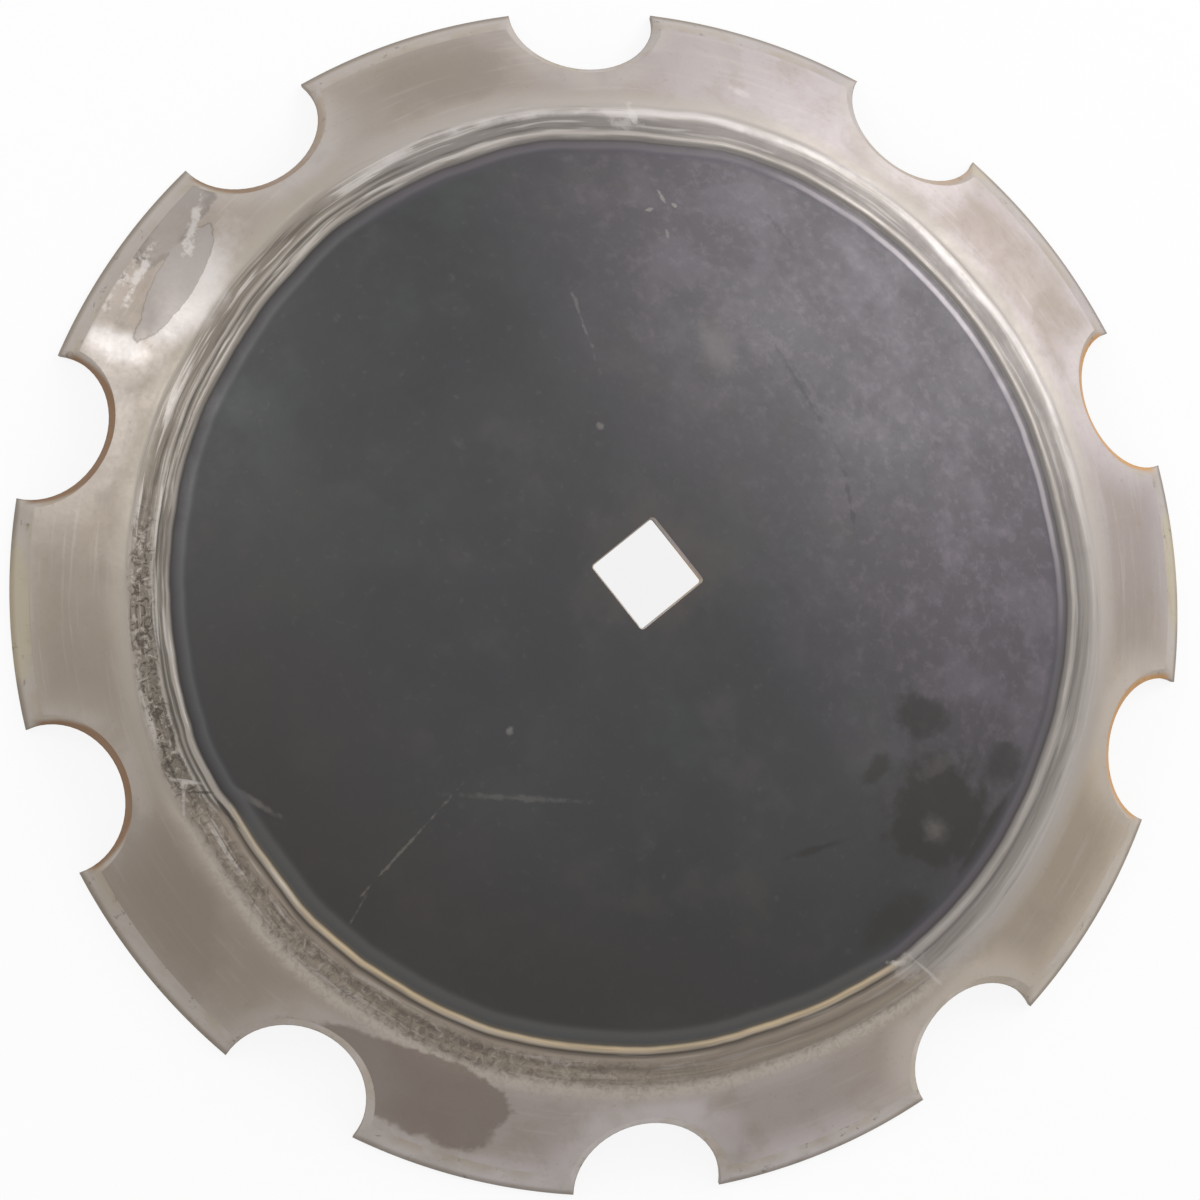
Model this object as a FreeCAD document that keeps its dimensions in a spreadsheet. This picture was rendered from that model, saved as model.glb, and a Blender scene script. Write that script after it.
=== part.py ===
import FreeCAD
import Part

import math
import os

import Sketcher

# Notched harrow disc blade, one pressed steel sheet.
# Millimetres. Z is the disc axis and points out of the domed face, the blade
# lies on its rim at Z = 0, X runs through the middle of a notch.

NODE = "disc_blade"
os.makedirs("parts", exist_ok=True)
doc = FreeCAD.newDocument("harrow_disc")
V = FreeCAD.Vector

# ---------------------------------------------------------------- sizes
# Every size is written once here: name, value, what it is.
SIZES = [
    ("outer_diameter", 610.0, "over the rim, 24 inch class"),
    ("dish_radius", 600.0, "ball radius of the hollow face"),
    ("sheet_thickness", 6.0, "measured square to the sheet"),
    ("rim_land", 2.2, "blunt band left under the rim bevel"),
    ("rim_bevel_width", 9.0, "sharpening bevel round the rim, seen from above"),
    ("ring_margin", 55.0, "rim to the outer foot of the pressed ring"),
    ("ring_width", 21.0, "pressed ring from foot to foot"),
    ("ring_height", 1.2, "rise of the ring over the ball"),
    ("ring_flank", 4.5, "width of each sloping side of the ring"),
    ("notch_count", 10, "notches round the rim"),
    ("notch_radius", 37.6, "radius of each notch on the sheet"),
    ("notch_inset", 1.5, "notch centre inside the rim"),
    ("notch_land", 2.8, "straight wall left under the notch bevel"),
    ("notch_bevel_width", 5.0, "bevel round each notch"),
    ("axle_flats", 38.1, "square gang axle, one and a half inch"),
    ("axle_clearance", 1.1, "play of the axle in the hole, both sides together"),
    ("hole_corner", 1.5, "corner radius of the square hole"),
    ("hole_edge_break", 0.6, "edge break on both mouths of the hole"),
]

# Sizes that follow from the ones above. A "ball" is a radius about the point
# that both faces of the sheet are struck from.
DERIVED = [
    ("rim_radius", "outer_diameter / 2"),
    ("rim_ball", "dish_radius + rim_land"),
    ("dome_ball", "dish_radius + sheet_thickness"),
    ("ball_drop", "dish_radius * sqrt(1 - pow(rim_radius / rim_ball; 2))"),
    ("bevel_start", "rim_radius - rim_bevel_width"),
    ("ring_outer", "rim_radius - ring_margin"),
    ("ring_inner", "ring_outer - ring_width"),
    ("crown_outer", "ring_outer - ring_flank"),
    ("crown_inner", "ring_inner + ring_flank"),
    ("dome_crown", "dome_ball + ring_height"),
    ("dish_crown", "dish_radius + ring_height"),
    ("seam_turn", "0.5 * 360 / notch_count"),
    ("notch_tilt", "asin((rim_radius - notch_inset) / dome_ball)"),
    ("notch_ball", "dish_radius + notch_land"),
    ("cutter_low", "dish_radius - 4 * sheet_thickness"),
    ("cutter_land", "sqrt(pow(notch_ball; 2) - pow(notch_radius; 2))"),
    ("mouth_radius", "notch_radius + notch_bevel_width"),
    ("mouth_height", "sqrt(pow(dome_ball; 2) - pow(mouth_radius; 2))"),
    ("cutter_radius", "mouth_radius + 3 * notch_bevel_width"),
    ("cutter_top", "mouth_height + 3 * (mouth_height - cutter_land)"),
    ("hole_side", "axle_flats + axle_clearance"),
]

sheet = doc.addObject("Spreadsheet::Sheet", "Sizes")
rows = [(name, str(value), note) for name, value, note in SIZES]
rows += [(name, "=" + formula, "") for name, formula in DERIVED]
for n, (name, content, note) in enumerate(rows, 1):
    sheet.set("A%d" % n, name)
    sheet.set("B%d" % n, content)
    sheet.set("C%d" % n, note)
    sheet.setAlias("B%d" % n, name)
doc.recompute()


def size(name):
    """Value of a named size as a plain number."""
    value = sheet.get(name)
    return float(getattr(value, "Value", value))


# ---------------------------------------------------------------- helpers
con = Sketcher.Constraint
START, END, MIDDLE = 1, 2, 3
H_AXIS, V_AXIS = -1, -2
ROOT = (-1, 1)

body = doc.addObject("PartDesign::Body", "Blade")
body.Label = NODE
ORIGIN = {item.Role: item for item in body.Origin.OriginFeatures}


def new_sketch(name, plane):
    """Empty sketch of the body, flat on one of its origin planes."""
    sketch = body.newObject("Sketcher::SketchObject", name)
    sketch.AttachmentSupport = [(ORIGIN[plane], "")]
    sketch.MapMode = "FlatFace"
    sketch.Visibility = False
    return sketch


def measure(sketch, constraint, name, suffix=""):
    """Adds a measured constraint and ties it to its size in the spreadsheet."""
    index = sketch.addConstraint(constraint)
    sketch.renameConstraint(index, name + suffix)
    sketch.setExpression("Constraints." + name + suffix, "Sizes." + name)


def solid_of(feature):
    """Recomputes and returns the feature's shape, which must be one valid solid."""
    doc.recompute()
    shape = feature.Shape
    assert shape.isValid() and len(shape.Solids) == 1, feature.Name
    return shape


def edges_where(shape, test):
    """Names of the edges of a shape that pass a test."""
    return ["Edge%d" % (n + 1) for n, edge in enumerate(shape.Edges) if test(edge)]


# ---------------------------------------------------------------- dish section
# Half section of the sheet: two faces struck from one centre under the blade,
# the pressed ring standing up through both, and the rim. The section is turned
# so that the seam of the turned faces falls in the middle of a lobe.
section = new_sketch("DishSection", "XZ_Plane")
turn = FreeCAD.Rotation(V(0, 1, 0), size("seam_turn"))
section.AttachmentOffset = FreeCAD.Placement(V(), turn)
section.setExpression("AttachmentOffset.Rotation.Angle", "Sizes.seam_turn")
centre = V(0, -size("ball_drop"), 0)


def at(ball, angle):
    """Section point on a ball, at an angle from the axis."""
    return centre + V(math.sin(angle), math.cos(angle), 0) * ball


def lean(ball, x):
    """Angle from the axis of the point of a ball at a distance from the axis."""
    return math.asin(x / ball)


def arc(ball, outer, inner):
    """Arc of the section on a ball, from its rim side point to its axle side point."""
    circle = Part.Circle(centre, V(0, 0, 1), ball)
    angles = [math.atan2(point.y - centre.y, point.x) for point in (outer, inner)]
    return section.addGeometry(Part.ArcOfCircle(circle, *angles), False)


def line(outer, inner):
    """Straight piece of the section, from its rim side point to its axle side point."""
    return section.addGeometry(Part.LineSegment(outer, inner), False)


def face_chain(ball_name, crown_name, rim_point):
    """One face of the sheet from the rim to the axis, with the pressed ring in it."""
    ball = size(ball_name)
    crown = size(crown_name)
    spots = [
        ("ring_outer", ball),
        ("crown_outer", crown),
        ("crown_inner", crown),
        ("ring_inner", ball),
    ]
    feet = [at(reach, lean(reach, size(name))) for name, reach in spots]
    rim_arc = arc(ball, rim_point, feet[0])
    outer_flank = line(feet[0], feet[1])
    crown_arc = arc(crown, feet[1], feet[2])
    inner_flank = line(feet[2], feet[3])
    axle_arc = arc(ball, feet[3], at(ball, 0))
    chain = [rim_arc, outer_flank, crown_arc, inner_flank, axle_arc]
    for first, second in zip(chain, chain[1:]):
        section.addConstraint(con("Coincident", first, END, second, START))
    section.addConstraint(con("Equal", rim_arc, axle_arc))
    section.addConstraint(con("Coincident", crown_arc, MIDDLE, rim_arc, MIDDLE))
    section.addConstraint(con("Coincident", axle_arc, MIDDLE, rim_arc, MIDDLE))
    section.addConstraint(con("PointOnObject", axle_arc, END, V_AXIS))
    measure(section, con("Radius", rim_arc, ball), ball_name)
    measure(section, con("Radius", crown_arc, crown), crown_name)
    for piece, (name, reach) in zip(chain, spots):
        distance = con("DistanceX", *ROOT, piece, END, size(name))
        measure(section, distance, name, "_of_" + ball_name)
    return rim_arc, axle_arc


rim_lean = lean(size("rim_ball"), size("rim_radius"))
rim_low = at(size("dish_radius"), rim_lean)
rim_high = at(size("rim_ball"), rim_lean)
bevel_top = at(size("dome_ball"), lean(size("dome_ball"), size("bevel_start")))

dome_rim, dome_axle = face_chain("dome_ball", "dome_crown", bevel_top)
dish_rim, dish_axle = face_chain("dish_radius", "dish_crown", rim_low)
bevel = line(rim_high, bevel_top)
land = line(rim_low, rim_high)
axis_side = line(at(size("dome_ball"), 0), at(size("dish_radius"), 0))

corners = [
    (land, START, dish_rim, START),
    (land, END, bevel, START),
    (bevel, END, dome_rim, START),
    (axis_side, START, dome_axle, END),
    (axis_side, END, dish_axle, END),
]
for corner in corners:
    section.addConstraint(con("Coincident", *corner))
section.addConstraint(con("Coincident", dish_rim, MIDDLE, dome_rim, MIDDLE))
section.addConstraint(con("PointOnObject", dome_rim, MIDDLE, V_AXIS))
section.addConstraint(con("PointOnObject", dome_rim, MIDDLE, land))
section.addConstraint(con("PointOnObject", land, START, H_AXIS))
rim_reach = con("DistanceX", *ROOT, land, END, size("rim_radius"))
measure(section, rim_reach, "rim_radius")
bevel_reach = con("DistanceX", *ROOT, bevel, END, size("bevel_start"))
measure(section, bevel_reach, "bevel_start")
land_length = con("Distance", land, START, land, END, size("rim_land"))
measure(section, land_length, "rim_land")

dish = body.newObject("PartDesign::Revolution", "Dish")
dish.Profile = section
dish.ReferenceAxis = (section, ["V_Axis"])
dish.Angle = 360
dish_shape = solid_of(dish)

# ---------------------------------------------------------------- axle hole
hole_sketch = new_sketch("AxleSquare", "XY_Plane")
half = size("hole_side") / 2
square = [V(-half, -half, 0), V(half, -half, 0), V(half, half, 0), V(-half, half, 0)]
for n in range(4):
    hole_sketch.addGeometry(Part.LineSegment(square[n], square[(n + 1) % 4]), False)
for n in range(4):
    hole_sketch.addConstraint(con("Coincident", n, END, (n + 1) % 4, START))
    hole_sketch.addConstraint(con("Vertical" if n % 2 else "Horizontal", n))
hole_sketch.addConstraint(con("Equal", 0, 1))
hole_sketch.addConstraint(con("Symmetric", 0, START, 2, START, *ROOT))
measure(hole_sketch, con("DistanceX", 0, START, 0, END, 2 * half), "hole_side")

hole = body.newObject("PartDesign::Pocket", "AxleHole")
hole.Profile = hole_sketch
hole.Type = "ThroughAll"
hole.Midplane = True
hole_shape = solid_of(hole)
assert hole_shape.Volume < dish_shape.Volume, "the axle hole missed the sheet"


def in_hole(edge):
    """True for an edge that lies in the wall of the square hole."""
    box = edge.BoundBox
    reach = max(abs(box.XMin), abs(box.XMax), abs(box.YMin), abs(box.YMax))
    return reach < half + 0.1


def upright(edge):
    """True for an edge that runs along the disc axis."""
    return max(edge.BoundBox.XLength, edge.BoundBox.YLength) < 0.01


hole_corners = body.newObject("PartDesign::Fillet", "HoleCorners")
picked = edges_where(hole_shape, lambda edge: in_hole(edge) and upright(edge))
hole_corners.Base = (hole, picked)
hole_corners.setExpression("Radius", "Sizes.hole_corner")
corner_shape = solid_of(hole_corners)

hole_edges = body.newObject("PartDesign::Chamfer", "HoleEdges")
picked = edges_where(corner_shape, lambda edge: in_hole(edge) and not upright(edge))
hole_edges.Base = (hole_corners, picked)
hole_edges.setExpression("Size", "Sizes.hole_edge_break")
hole_edge_shape = solid_of(hole_edges)

# ---------------------------------------------------------------- notches
# One cutter, turned about the line from the ball centre through the notch
# centre: a wall square to the sheet, then a flare that bevels the domed face.
cutter = new_sketch("NotchCutter", "XZ_Plane")
tilt = FreeCAD.Rotation(V(0, 0, 1), -size("notch_tilt"))
cutter.AttachmentOffset = FreeCAD.Placement(centre, tilt)
cutter.setExpression("AttachmentOffset.Base.y", "-Sizes.ball_drop")
cutter.setExpression("AttachmentOffset.Rotation.Angle", "-Sizes.notch_tilt")

wall = size("notch_radius")
flare = size("cutter_radius")
profile = [
    V(0, size("cutter_low"), 0),
    V(wall, size("cutter_low"), 0),
    V(wall, size("cutter_land"), 0),
    V(flare, size("cutter_top"), 0),
    V(0, size("cutter_top"), 0),
]
for n in range(5):
    cutter.addGeometry(Part.LineSegment(profile[n], profile[(n + 1) % 5]), False)
for n in range(5):
    cutter.addConstraint(con("Coincident", n, END, (n + 1) % 5, START))
cutter.addConstraint(con("Horizontal", 0))
cutter.addConstraint(con("Vertical", 1))
cutter.addConstraint(con("Horizontal", 3))
cutter.addConstraint(con("PointOnObject", 0, START, V_AXIS))
cutter.addConstraint(con("PointOnObject", 3, END, V_AXIS))
measure(cutter, con("DistanceX", *ROOT, 1, START, wall), "notch_radius")
measure(cutter, con("DistanceX", *ROOT, 2, END, flare), "cutter_radius")
for piece, name in ((0, "cutter_low"), (2, "cutter_land"), (3, "cutter_top")):
    measure(cutter, con("DistanceY", *ROOT, piece, START, size(name)), name)

notch = body.newObject("PartDesign::Groove", "Notch")
notch.Profile = cutter
notch.ReferenceAxis = (cutter, ["V_Axis"])
notch.Angle = 360
notch_shape = solid_of(notch)
one_cut = hole_edge_shape.Volume - notch_shape.Volume
assert one_cut > 0, "the notch cutter missed the sheet"

notches = body.newObject("PartDesign::PolarPattern", "Notches")
notches.Originals = [notch]
notches.Axis = (ORIGIN["Z_Axis"], [""])
notches.Angle = 360
notches.setExpression("Occurrences", "Sizes.notch_count")
body.Tip = notches
blade = solid_of(notches)
all_cuts = hole_edge_shape.Volume - blade.Volume
assert abs(all_cuts / one_cut - size("notch_count")) < 0.01, "a notch is missing"

# ---------------------------------------------------------------- checks
for item in doc.Objects:
    assert "Invalid" not in item.State and "Error" not in item.State, item.Name
for sketch in (section, hole_sketch, cutter):
    assert sketch.FullyConstrained, sketch.Name
outside = blade.optimalBoundingBox()
print("box %.2f x %.2f x %.2f" % (outside.XLength, outside.YLength, outside.ZLength))
print("volume %.0f mm3, steel %.2f kg" % (blade.Volume, blade.Volume * 7.85e-6))
print("lowest point %.4f, %d faces" % (outside.ZMin, len(blade.Faces)))

# ---------------------------------------------------------------- export
body.Shape.exportStep("parts/%s.step" % NODE)
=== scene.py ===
# %% [markdown]
# A notched disc blade of a harrow: one sheet of spring steel, pressed hollow
# like a shallow bowl, cut with ten notches, ground sharp round its rim and
# pierced with a square hole for the axle of the gang.
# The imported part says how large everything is. This file gives that shape a
# finer skin and the look of a blade that has been handled, oiled and stored.

import bpy
import math
from mathutils import Matrix, Vector


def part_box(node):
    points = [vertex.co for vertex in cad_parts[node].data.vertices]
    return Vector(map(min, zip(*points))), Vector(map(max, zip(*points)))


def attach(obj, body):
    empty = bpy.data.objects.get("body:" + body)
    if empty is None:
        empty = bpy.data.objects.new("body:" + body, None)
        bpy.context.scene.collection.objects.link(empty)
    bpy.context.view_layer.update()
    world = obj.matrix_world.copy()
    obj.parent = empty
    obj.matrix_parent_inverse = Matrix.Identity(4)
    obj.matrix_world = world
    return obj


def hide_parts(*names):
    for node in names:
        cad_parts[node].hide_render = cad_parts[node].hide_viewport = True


MM = 0.001
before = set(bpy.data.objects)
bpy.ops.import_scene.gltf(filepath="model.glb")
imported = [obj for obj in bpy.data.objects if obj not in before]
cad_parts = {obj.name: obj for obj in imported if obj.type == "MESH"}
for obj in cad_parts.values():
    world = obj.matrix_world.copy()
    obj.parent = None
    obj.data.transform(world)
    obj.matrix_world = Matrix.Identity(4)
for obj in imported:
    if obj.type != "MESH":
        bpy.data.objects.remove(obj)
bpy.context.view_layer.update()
low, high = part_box("disc_blade")
rim_reach = (high.y - low.y) / 2
print("part box", [round(v, 4) for v in (*low, *high)])

# %% [markdown]
# The camera looks down on the domed face, tipped a little from straight above.
# A long lens keeps the rim nearly round. Building the camera from a spin, a tip
# and a distance is easier to read than a list of Euler angles.

# %% Camera
lens_mm = 106.87
camera_height = 1.8264
disc_spin = math.radians(-51.35)
disc_tip = math.radians(13.014)
tip_toward = math.radians(119.31)
sideways, upwards = 6.0 * MM, 3.4 * MM

camera_data = bpy.data.cameras.new("studio_camera")
camera_data.lens = lens_mm
camera_data.sensor_width = 36
camera_data.clip_end = 50
camera = bpy.data.objects.new("studio_camera", camera_data)
bpy.context.scene.collection.objects.link(camera)
tip_axis = Vector((math.cos(tip_toward), math.sin(tip_toward), 0))
seen = Matrix.Rotation(disc_tip, 4, tip_axis) @ Matrix.Rotation(disc_spin, 4, "Z")
stand = Matrix.Translation((-sideways, -upwards, camera_height))
camera.matrix_world = seen.inverted() @ stand
bpy.context.scene.camera = camera
print("camera at", [round(v, 3) for v in camera.matrix_world.translation])


# %% [markdown]
# Everything below is made with nodes, so small helpers come first. `node` makes
# one, `wire` either joins a socket to it or types a value in, and `calc`,
# `vector` and `ramp` are one line of arithmetic each.

# %% Helpers for nodes
def node(tree, kind, **settings):
    """A new node with its settings."""
    made = tree.nodes.new(kind)
    for name, value in settings.items():
        setattr(made, name, value)
    return made


def wire(tree, value, socket):
    """Joins an output to a socket, or types a plain value into it."""
    if isinstance(value, bpy.types.NodeSocket):
        tree.links.new(value, socket)
    elif value is not None:
        socket.default_value = value


def calc(tree, operation, *values, clamp=False):
    """One step of arithmetic on numbers."""
    step = node(tree, "ShaderNodeMath", operation=operation, use_clamp=clamp)
    for value, socket in zip(values, step.inputs):
        wire(tree, value, socket)
    return step.outputs[0]


def vector(tree, operation, *values, scale=None):
    """One step of arithmetic on points. Length, distance and dot give a number."""
    step = node(tree, "ShaderNodeVectorMath", operation=operation)
    for value, socket in zip(values, step.inputs):
        wire(tree, value, socket)
    if scale is not None:
        wire(tree, scale, step.inputs["Scale"])
    number = operation in ("LENGTH", "DISTANCE", "DOT_PRODUCT")
    return step.outputs["Value" if number else "Vector"]


def ramp(tree, value, start, end, low=0.0, high=1.0, smooth=True):
    """A value brought from one range to another, with soft ends."""
    kind = "SMOOTHSTEP" if smooth else "LINEAR"
    step = node(tree, "ShaderNodeMapRange", interpolation_type=kind)
    for item, socket in zip((value, start, end, low, high), step.inputs):
        wire(tree, item, socket)
    return step.outputs["Result"]


def point(tree, x=0.0, y=0.0, z=0.0):
    """A point put together from three numbers."""
    step = node(tree, "ShaderNodeCombineXYZ")
    for value, socket in zip((x, y, z), step.inputs):
        wire(tree, value, socket)
    return step.outputs[0]


def parts(tree, where):
    """The three numbers of a point."""
    step = node(tree, "ShaderNodeSeparateXYZ")
    wire(tree, where, step.inputs[0])
    return step.outputs


def group(name, kind, inputs, outputs):
    """An empty node group with named sockets. Returns it with its two ends."""
    tree = bpy.data.node_groups.new(name, kind)
    for label, socket, *value in inputs:
        made = tree.interface.new_socket(label, in_out="INPUT", socket_type="NodeSocket" + socket)
        if value:
            made.default_value = value[0]
    for label, socket in outputs:
        tree.interface.new_socket(label, in_out="OUTPUT", socket_type="NodeSocket" + socket)
    return tree, node(tree, "NodeGroupInput").outputs, node(tree, "NodeGroupOutput").inputs


def use(tree, made, **values):
    """Puts a group in a tree. An underscore in a name stands for a space."""
    kind = "GeometryNodeGroup" if tree.type == "GEOMETRY" else "ShaderNodeGroup"
    placed = node(tree, kind, node_tree=made)
    for name, value in values.items():
        wire(tree, value, placed.inputs[name.replace("_", " ")])
    return placed


print("helpers ready")

# %% [markdown]
# The sheet lies between two balls struck from one centre below the blade. The
# distances are the part's own, and the drop of the centre follows from the
# packed height, so the skin and the part share one shape.

# %% Sizes of the sheet
dish_ball = 600 * MM
thickness = 6 * MM
dome_ball = dish_ball + thickness
rim_ball = dish_ball + 2.2 * MM
ball_drop = dish_ball * math.sqrt(1 - (rim_reach / rim_ball) ** 2)
rim_foot = rim_reach * dish_ball / rim_ball
notch_count = 10
notch_bite = 37.6 * MM
notch_ball = dish_ball + 2.8 * MM
notch_tilt = math.asin((rim_reach - 1.5 * MM) / dome_ball)
hole_half = 19.6 * MM
centre = Vector((0, 0, -ball_drop))
print("ball centre", round(-ball_drop, 5), "notch tilt", round(math.degrees(notch_tilt), 2))

# %% [markdown]
# A line of the pattern runs across one tooth, from the middle of a lobe round a
# notch to the middle of the next lobe. `Across` goes from -1 to 1. Inside the
# ring a line is a plain arc. Near the rim half of its points follow the notch,
# which is a circle about a leaning line, and the rest follow the rim. The corner
# between them comes from where that circle reaches the rim.

# %% Line across one tooth
line_inputs = [
    ("Across", "Float"),
    ("Reach", "Float"),
    ("Bite", "Float"),
    ("Ball", "Float"),
    ("Half Pitch", "Float", math.pi / notch_count),
]
tooth_line, given, result = group(
    "Tooth line", "GeometryNodeTree", line_inputs, [("Line", "Vector")]
)
t = tooth_line
along = calc(t, "ABSOLUTE", given["Across"])
side = calc(t, "SIGN", given["Across"])
reach, bite, ball = given["Reach"], given["Bite"], given["Ball"]
lean_sin, lean_cos = math.sin(notch_tilt), math.cos(notch_tilt)


def leg(tree, long_side, short_side):
    """The other short side of a right triangle."""
    squares = [calc(tree, "MULTIPLY", v, v) for v in (long_side, short_side)]
    return calc(tree, "SQRT", calc(tree, "SUBTRACT", *squares))


rise = leg(t, ball, bite)
rim_height = leg(t, ball, reach)
gap = calc(t, "SUBTRACT", calc(t, "MULTIPLY", rise, lean_cos), rim_height)
safe_bite = calc(t, "MAXIMUM", bite, 1 * MM)
corner_cos = calc(t, "DIVIDE", gap, calc(t, "MULTIPLY", safe_bite, lean_sin))
corner = calc(t, "ARCCOSINE", calc(t, "MAXIMUM", calc(t, "MINIMUM", corner_cos, 1.0), -1.0))


def on_notch(tree, turn):
    """x, y and z of the notch circle at a turn about its leaning line."""
    turn_cos = calc(tree, "COSINE", turn)
    out = calc(tree, "MULTIPLY", calc(tree, "MULTIPLY", bite, lean_cos), turn_cos)
    x = calc(tree, "MULTIPLY_ADD", rise, lean_sin, out)
    y = calc(tree, "MULTIPLY", bite, calc(tree, "SINE", turn))
    down = calc(tree, "MULTIPLY", calc(tree, "MULTIPLY", bite, lean_sin), turn_cos)
    return x, y, calc(tree, "SUBTRACT", calc(tree, "MULTIPLY", rise, lean_cos), down)


notch_part = ramp(t, along, 0.0, 0.5, smooth=False)
turn = calc(t, "MULTIPLY_ADD", calc(t, "SUBTRACT", corner, math.pi), notch_part, math.pi)
in_notch = point(t, *on_notch(t, turn))
corner_x, corner_y, _ = on_notch(t, corner)
corner_angle = calc(t, "ARCTAN2", corner_y, corner_x)
lobe_part = ramp(t, along, 0.5, 1.0, smooth=False)
lobe_width = calc(t, "SUBTRACT", given["Half Pitch"], corner_angle)
lobe_angle = calc(t, "MULTIPLY_ADD", lobe_width, lobe_part, corner_angle)
plain_angle = calc(t, "MULTIPLY", along, given["Half Pitch"])


def choose(tree, test, false, true, kind="VECTOR"):
    """One of two values."""
    step = node(tree, "GeometryNodeSwitch", input_type=kind)
    for value, socket in zip((test, false, true), step.inputs):
        wire(tree, value, socket)
    return step.outputs[0]


def on_circle(tree, angle):
    """A point of the plain circle at the line's reach."""
    x = calc(tree, "MULTIPLY", reach, calc(tree, "COSINE", angle))
    y = calc(tree, "MULTIPLY", reach, calc(tree, "SINE", angle))
    return point(tree, x, y, rim_height)


past_corner = calc(t, "GREATER_THAN", along, 0.5)
notched = choose(t, past_corner, in_notch, on_circle(t, lobe_angle))
has_notch = calc(t, "GREATER_THAN", bite, 1 * MM)
whole = choose(t, has_notch, on_circle(t, plain_angle), notched)
mirrored = vector(t, "MULTIPLY", whole, point(t, 1.0, side, 1.0))
wire(t, vector(t, "ADD", mirrored, tuple(centre)), result["Line"])
print("tooth line:", len(t.nodes), "nodes")

# %% [markdown]
# The axle hole is a square with small rounded corners. Its line is found by
# sending a ray out from the axis in each direction and stopping it at the flat
# of the square, or at the corner circle where the flat has ended.

# %% Line round the square hole
hole_inputs = [("Across", "Float"), ("Half", "Float"), ("Corner", "Float"), ("Ball", "Float")]
hole_line, given, result = group(
    "Hole line", "GeometryNodeTree", hole_inputs, [("Line", "Vector")]
)
t = hole_line
angle = calc(t, "MULTIPLY", given["Across"], math.pi)
ray_x, ray_y = calc(t, "COSINE", angle), calc(t, "SINE", angle)
wide, tall = calc(t, "ABSOLUTE", ray_x), calc(t, "ABSOLUTE", ray_y)
flat_hit = calc(t, "DIVIDE", given["Half"], calc(t, "MAXIMUM", wide, tall))
corner_at = calc(t, "SUBTRACT", given["Half"], given["Corner"])
reach_along = calc(t, "MULTIPLY", corner_at, calc(t, "ADD", wide, tall))
inside = calc(t, "MULTIPLY", reach_along, reach_along)
inside = calc(t, "MULTIPLY_ADD", given["Corner"], given["Corner"], inside)
twice = calc(t, "MULTIPLY", calc(t, "MULTIPLY", corner_at, corner_at), 2.0)
root = calc(t, "SQRT", calc(t, "MAXIMUM", calc(t, "SUBTRACT", inside, twice), 0.0))
corner_hit = calc(t, "ADD", reach_along, root)
short = calc(t, "MULTIPLY", flat_hit, calc(t, "MINIMUM", wide, tall))
at_corner = calc(t, "GREATER_THAN", short, corner_at)
hit = choose(t, at_corner, flat_hit, corner_hit, kind="FLOAT")
height = calc(t, "SUBTRACT", leg(t, given["Ball"], hit), ball_drop)
x, y = calc(t, "MULTIPLY", hit, ray_x), calc(t, "MULTIPLY", hit, ray_y)
wire(t, point(t, x, y, height), result["Line"])
print("hole line:", len(t.nodes), "nodes")

# %% [markdown]
# A band is the strip of skin between two lines. It is a flat grid whose rows are
# carried onto the balls. The first and last rows sit close to its edges, so that
# smooth shading turns each hard edge into the small rounding of a worn one.

# %% Band between two lines
band_inputs = [
    ("Columns", "Int", 60),
    ("Rows", "Int", 8),
    ("First Line", "Vector"),
    ("Last Line", "Vector"),
    ("Hem", "Float", 0.0),
    ("Finish", "Int", 0),
]
band, given, result = group(
    "Band", "GeometryNodeTree", band_inputs, [("Geometry", "Geometry")]
)
t = band
grid = node(t, "GeometryNodeMeshGrid")
wire(t, calc(t, "ADD", given["Columns"], 1.0), grid.inputs["Vertices X"])
wire(t, calc(t, "ADD", given["Rows"], 1.0), grid.inputs["Vertices Y"])
flat = parts(t, node(t, "GeometryNodeInputPosition").outputs[0])


def remember(tree, geometry, name, value, kind="FLOAT", domain="POINT"):
    """Stores a value on the mesh under a name."""
    step = node(tree, "GeometryNodeStoreNamedAttribute", data_type=kind, domain=domain)
    wire(tree, geometry, step.inputs["Geometry"])
    step.inputs["Name"].default_value = name
    wire(tree, value, step.inputs["Value"])
    return step.outputs[0]


def recall(tree, name, kind="FLOAT"):
    """Reads a value stored on the mesh."""
    step = node(tree, "GeometryNodeInputNamedAttribute", data_type=kind)
    step.inputs["Name"].default_value = name
    return step.outputs["Attribute"]


marked = remember(t, grid.outputs["Mesh"], "across", calc(t, "MULTIPLY", flat[0], 2.0))
marked = remember(t, marked, "down", calc(t, "ADD", flat[1], 0.5))
marked = remember(t, marked, "finish", given["Finish"], kind="INT", domain="FACE")
row = calc(t, "MULTIPLY", recall(t, "down"), given["Rows"])
last_inner = calc(t, "SUBTRACT", given["Rows"], 1.0)
even = ramp(t, row, 1.0, last_inner, given["Hem"], calc(t, "SUBTRACT", 1.0, given["Hem"]), smooth=False)
hemmed = choose(t, calc(t, "LESS_THAN", row, 0.5), even, 0.0, kind="FLOAT")
hemmed = choose(t, calc(t, "GREATER_THAN", row, calc(t, "ADD", last_inner, 0.5)), hemmed, 1.0, kind="FLOAT")
plain_row = choose(t, calc(t, "GREATER_THAN", given["Hem"], 0.0001), recall(t, "down"), hemmed, kind="FLOAT")


def between(tree, first, last, amount):
    """A point part of the way from one to another."""
    span = vector(tree, "SUBTRACT", last, first)
    return vector(tree, "ADD", first, vector(tree, "SCALE", span, scale=amount))


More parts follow.
